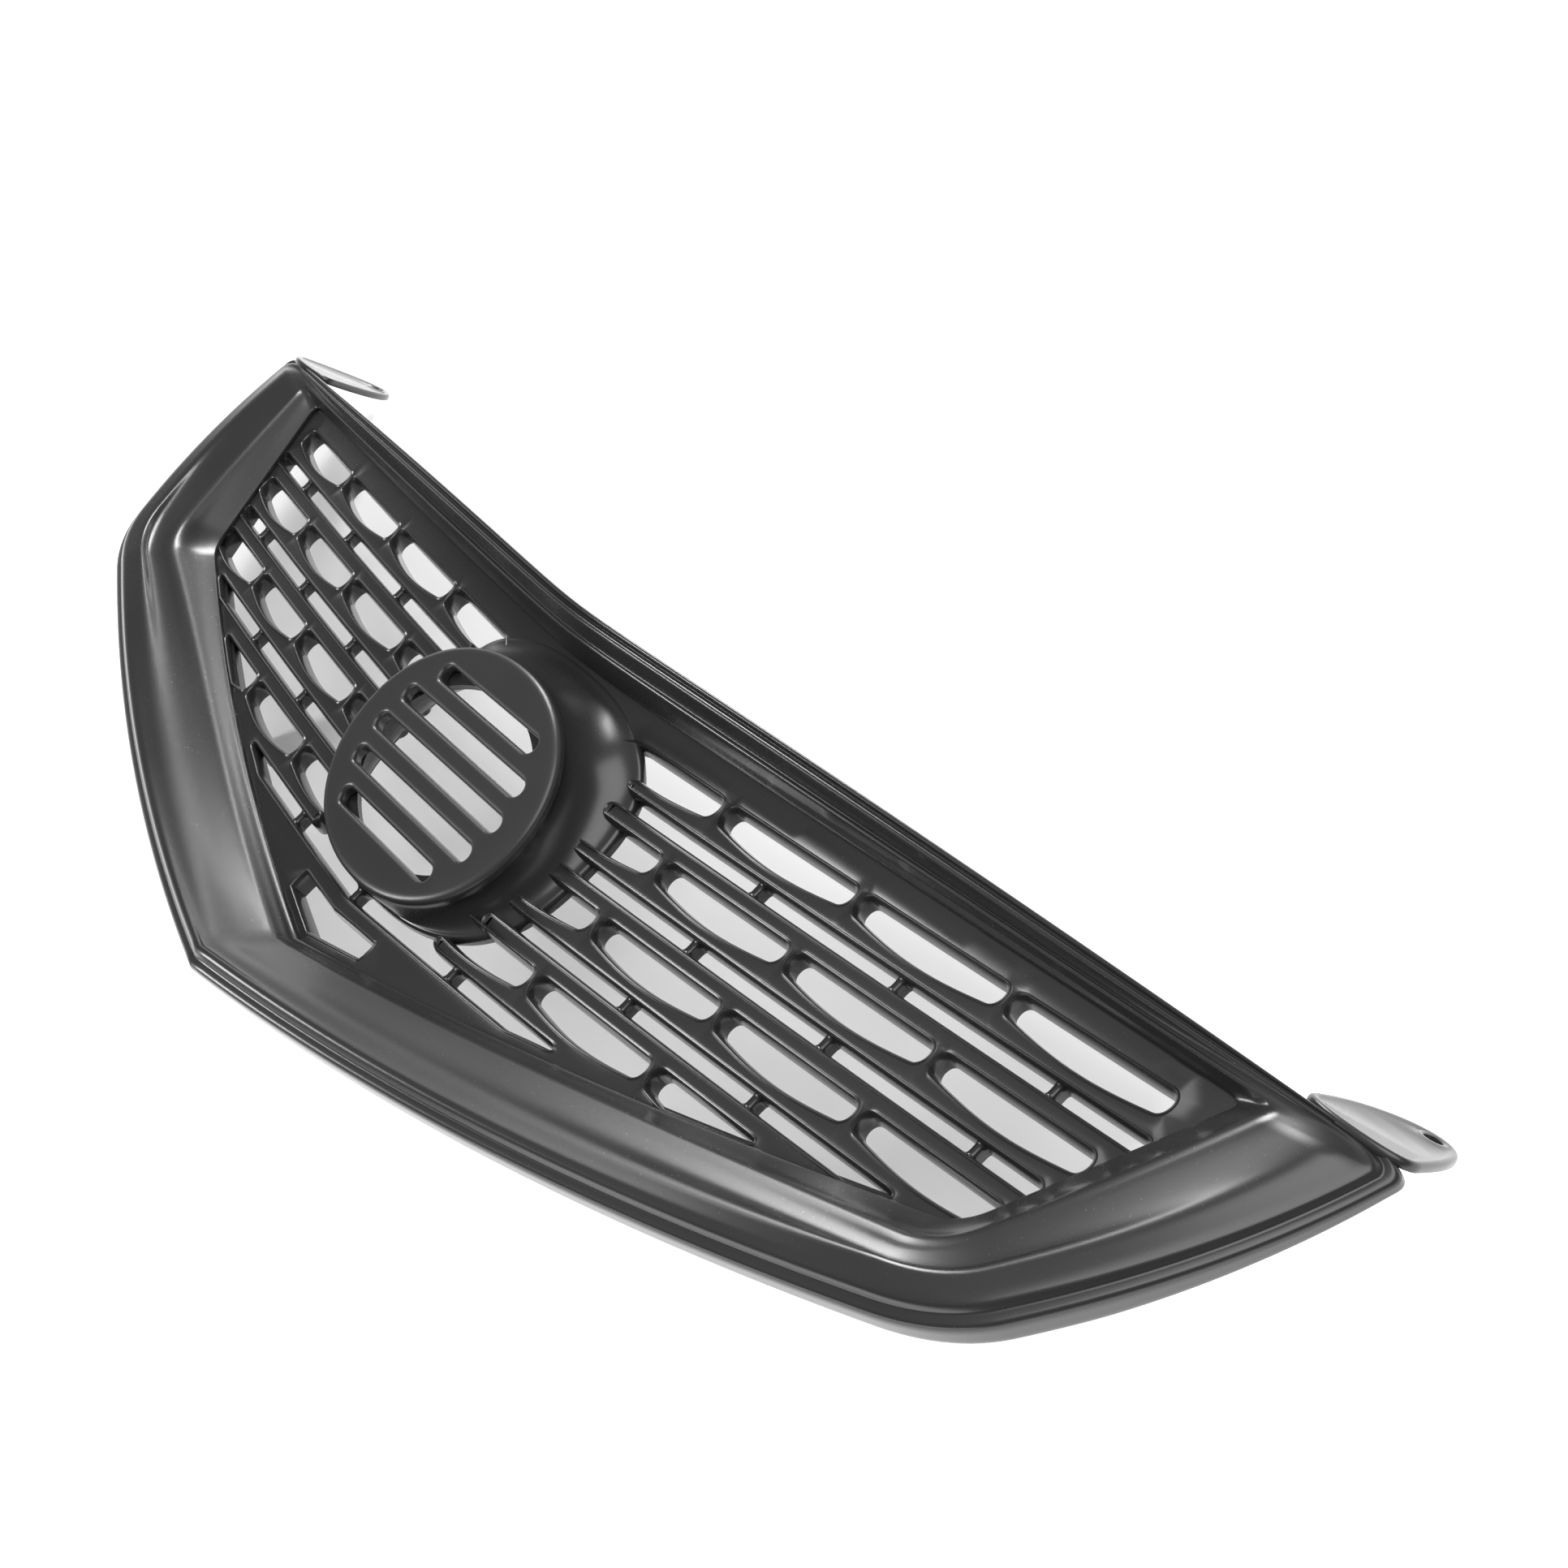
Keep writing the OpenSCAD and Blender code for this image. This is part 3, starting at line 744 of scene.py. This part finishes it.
FOOT_Z = 1.4 - SHIFT_Z
for i, (x, y, z0, z1) in enumerate([(205, -60, FOOT_Z, 43.9), (120, -96, 30, 59), (-120, -96, 30, 59),
                                    (-205, -60, FOOT_Z, 43.9)], 1):
    bpy.ops.object.select_all(action="DESELECT")
    bpy.ops.mesh.primitive_cube_add(size=1, location=place([x, y + 1.5, (z0 + z1) / 2]))
    blade = bpy.context.object
    blade.scale = (0.024, 0.003, (z1 - z0) * 0.001)
    bpy.ops.object.transform_apply(location=True, rotation=True, scale=True)
    bpy.ops.object.mode_set(mode="EDIT")
    bpy.ops.mesh.select_all(action="SELECT")
    bpy.ops.mesh.bevel(offset=0.0006, segments=3)
    bpy.ops.object.mode_set(mode="OBJECT")
    finish_solid("clip_blade_%d" % i, blade)

BOSSES = [(60, 62, 53.5), (180, 71.5, 38), (290, 79, 21.4), (308, 20, 24), (225, -42, 35.2), (120, -75, 45.5)]
for i, (x, y, z1) in enumerate(BOSSES + [(-x, y, z) for x, y, z in BOSSES], 1):
    z0 = mesh_z(abs(x) - 3.5) + 0.3
    bpy.ops.object.select_all(action="DESELECT")
    bpy.ops.mesh.primitive_cylinder_add(vertices=40, radius=0.0035, depth=(z1 - z0) * 0.001,
                                        location=place([x, y, (z0 + z1) / 2]))
    boss = bpy.context.object
    finish_solid("screw_boss_%d" % i, boss)
print("blades and bosses made")

# %% [markdown]
# Round tabs on the mesh border take the screw heads.

# %%
# Screw tabs
tabs = Shell()
turn = np.linspace(0, 2 * math.pi, 49)[:-1]
TAB_RADII, TAB_LEVELS = (2.2, 2.2, 6.1, 6.5, 6.5, 6.1), (-3.05, -0.15, -0.15, -0.4, -2.7, -3.05)
for x, y, _ in BOSSES + [(-x, y, z) for x, y, z in BOSSES]:
    rings = [np.column_stack([x + r * np.cos(turn), y + r * np.sin(turn)]) for r in TAB_RADII]
    tabs.loft([on_mesh(p, h) for p, h in zip(rings, TAB_LEVELS)], wrap=True)
make("mesh_tabs", tabs, gloss, "gloss_black", "mesh_insert")

# %% [markdown]
# ## Stage, camera and light
# A white floor under the part and a camera held above its right end. The floor glows faintly, a painted light
# that keeps it white round the part where the part's shadow would fall.
# A soft patch under the part glows less, a painted shade, so that the openings read pale grey.

# %%
# Floor and camera
bpy.ops.object.select_all(action="DESELECT")
bpy.ops.mesh.primitive_plane_add(size=12, location=(0, 0, 0))
floor = bpy.context.object
floor.name = "floor"
n = Nodes("pale_floor")


def ease(value, start, stop):
    return n.add("MapRange", Value=value, interpolation_type="SMOOTHSTEP",
                 **{"From Min": start, "From Max": stop})


place_x = n.add("SeparateXYZ", 0, Vector=n.coords)
place_y = n.add("SeparateXYZ", 1, Vector=n.coords)
across = (place_x + 0.06).math("ABSOLUTE", 0.0)
# Painted shade: a soft patch under the part where the floor's glow drops, so that the openings read grey.
painted_shade_under_part = (ease(place_y - across * 0.15 - across * across * 0.45, -0.135, -0.112) *
              ease(place_y - across * 0.085, 0.095, 0.07) *
              ease(place_x, -0.47, -0.4) * ease(place_x, 0.31, 0.265))
# The floor's emission is painted light round the part, which hides its cast shadow, and painted shade under
# it.
floor.data.materials.append(n.wire(
    Base_Color=n.ramp(n.noise(3.0), 0.3, 0.7, (0.9, 0.9, 0.9), (0.92, 0.92, 0.92)), Roughness=0.9,
    Emission_Color=n.ramp(painted_shade_under_part, 0.0, 1.0, (1, 1, 1), (0.1, 0.1, 0.1)), Emission_Strength=1.0))

eye = place([711.3, -50.3, 633.1])
right = Vector((0.5651, 0.7012, -0.4348))
down = Vector((0.4321, -0.7004, -0.568))
ahead = Vector((-0.7028, 0.1331, -0.6988))
data = bpy.data.cameras.new("camera")
data.lens, data.sensor_width, data.sensor_fit = 55.9, 36, "HORIZONTAL"
camera = bpy.data.objects.new("camera", data)
bpy.context.collection.objects.link(camera)
turned = Matrix((right, -down, -ahead)).transposed().to_4x4()
camera.matrix_world = Matrix.Translation(Vector(eye)) @ turned
bpy.context.scene.camera = camera
print("camera at", [round(c, 3) for c in eye])

# %% [markdown]
# A wide lamp overhead lights the floor. Two upright panels stand far off to the left, where the beads
# of the bars reflect them but the flat faces don't. The sky is bright low down, dark at mid height
# for deep black reflections, and grey overhead.

# %%
# Lights


def area(name, at, target, size, power):
    light = bpy.data.lights.new(name, "AREA")
    light.shape = "RECTANGLE"
    light.size, light.size_y = size
    light.energy = power
    lamp = bpy.data.objects.new(name, light)
    bpy.context.collection.objects.link(lamp)
    lamp.location = at
    lamp.rotation_euler = (Vector(target) - Vector(at)).to_track_quat("-Z", "Y").to_euler()
    return lamp


area("key_overhead", (0.9, 0.9, 2.4), (0, 0, 0), (2.4, 1.6), 40)
area("panel_left_back", (-1.11, 1.33, 1.0), (0.1, 0, 0.06), (0.35, 1.0), 25)
area("panel_left_front", (-1.05, -1.26, 1.1), (0.1, 0, 0.06), (0.3, 0.8), 15)
area("panel_front", (0.5, -2.0, 0.5), (0, 0, 0.05), (2.4, 0.4), 12)

world = bpy.data.worlds.new("studio")
bpy.context.scene.world = world
world.use_nodes = True
tree = world.node_tree
height = tree.nodes.new("ShaderNodeSeparateXYZ")
tree.links.new(tree.nodes.new("ShaderNodeTexCoord").outputs["Generated"], height.inputs[0])
sky = tree.nodes.new("ShaderNodeValToRGB")
tree.links.new(height.outputs[2], sky.inputs[0])
sky.color_ramp.elements[0].position, sky.color_ramp.elements[0].color = 0.06, (1, 1, 1, 1)
sky.color_ramp.elements[1].position, sky.color_ramp.elements[1].color = 0.9, (0.5, 0.5, 0.5, 1)
for level, grey in ((0.2, 0.14), (0.6, 0.13)):
    sky.color_ramp.elements.new(level).color = (grey, grey, grey, 1)
tree.links.new(sky.outputs[0], tree.nodes["Background"].inputs[0])
tree.nodes["Background"].inputs[1].default_value = 1.0
bpy.context.scene.view_settings.view_transform = "Standard"
print("lights ready")
